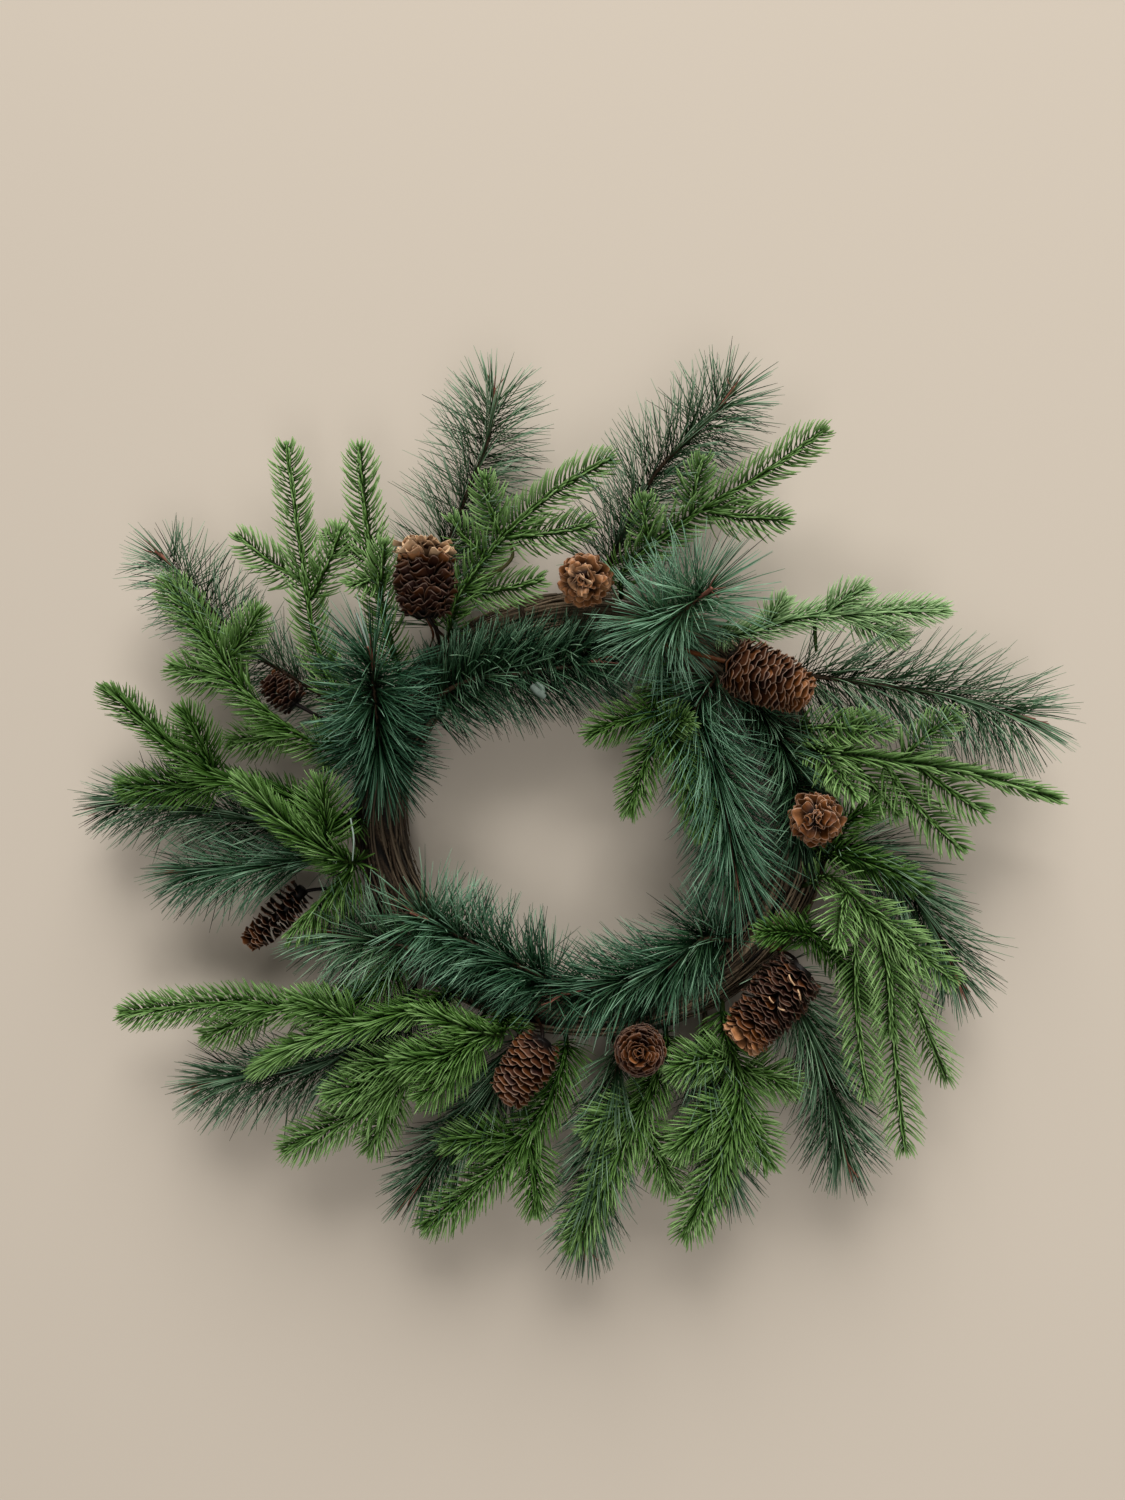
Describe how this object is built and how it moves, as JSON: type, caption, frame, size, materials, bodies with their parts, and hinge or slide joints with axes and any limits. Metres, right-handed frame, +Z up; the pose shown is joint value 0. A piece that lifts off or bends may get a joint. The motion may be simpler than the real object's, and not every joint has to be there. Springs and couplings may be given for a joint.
{
  "type": "evergreen wreath",
  "caption": "Evergreen wreath of long-needled pine and short-needled spruce sprays with cones on a twisted grapevine ring, open in the middle, lying on its back.",
  "frame": {"origin": "on the surface that the wreath lies on, under the middle of its outline", "axes": "+Z up out of the wreath's face, +Y toward its top and +X toward its right as it hangs, seen from the front"},
  "size_m": [0.7426, 0.6785, 0.1461],
  "materials": {
    "grapevine": "dry shaggy grey-brown vine bark, matt",
    "binding_vine": "thin dark bark, matt",
    "pine_needles": "long fine blue-green needles with a soft sheen, brown-pink stick ends",
    "spruce_needles": "short curved mid-green needles, paler at their tips, satin",
    "cone_scales": "red-brown woody scales with pale tan edges, dull with a slight gloss"
  },
  "bodies": {
    "root": {"vine_1": "grapevine", "vine_2": "grapevine", "vine_3": "grapevine", "vine_4": "grapevine", "vine_5": "grapevine", "vine_6": "grapevine", "vine_7": "grapevine", "binding_vine_1": "binding_vine", "binding_vine_2": "binding_vine", "binding_vine_3": "binding_vine", "pine_spray_01": "pine_needles", "pine_spray_02": "pine_needles", "pine_spray_03": "pine_needles", "pine_spray_04": "pine_needles", "pine_spray_05": "pine_needles", "pine_spray_06": "pine_needles", "pine_spray_07": "pine_needles", "pine_spray_08": "pine_needles", "pine_spray_09": "pine_needles", "pine_spray_10": "pine_needles", "pine_spray_11": "pine_needles", "pine_spray_12": "pine_needles", "pine_spray_13": "pine_needles", "pine_spray_14": "pine_needles", "pine_spray_15": "pine_needles", "pine_spray_16": "pine_needles", "pine_spray_17": "pine_needles", "pine_spray_18": "pine_needles", "pine_spray_19": "pine_needles", "spruce_spray_01": "spruce_needles", "spruce_spray_02": "spruce_needles", "spruce_spray_03": "spruce_needles", "spruce_spray_04": "spruce_needles", "spruce_spray_05": "spruce_needles", "spruce_spray_06": "spruce_needles", "spruce_spray_07": "spruce_needles", "spruce_spray_08": "spruce_needles", "spruce_spray_09": "spruce_needles", "spruce_spray_10": "spruce_needles", "spruce_spray_11": "spruce_needles", "spruce_spray_12": "spruce_needles", "spruce_spray_13": "spruce_needles", "spruce_spray_14": "spruce_needles", "spruce_spray_15": "spruce_needles", "spruce_spray_16": "spruce_needles", "spruce_spray_17": "spruce_needles", "spruce_spray_18": "spruce_needles", "spruce_spray_19": "spruce_needles", "spruce_spray_20": "spruce_needles", "cone_1": "cone_scales", "cone_2": "cone_scales", "cone_3": "cone_scales", "cone_4": "cone_scales", "cone_5": "cone_scales", "cone_6": "cone_scales", "cone_7": "cone_scales", "cone_8": "cone_scales", "cone_9": "cone_scales"}
  },
  "joints": []
}
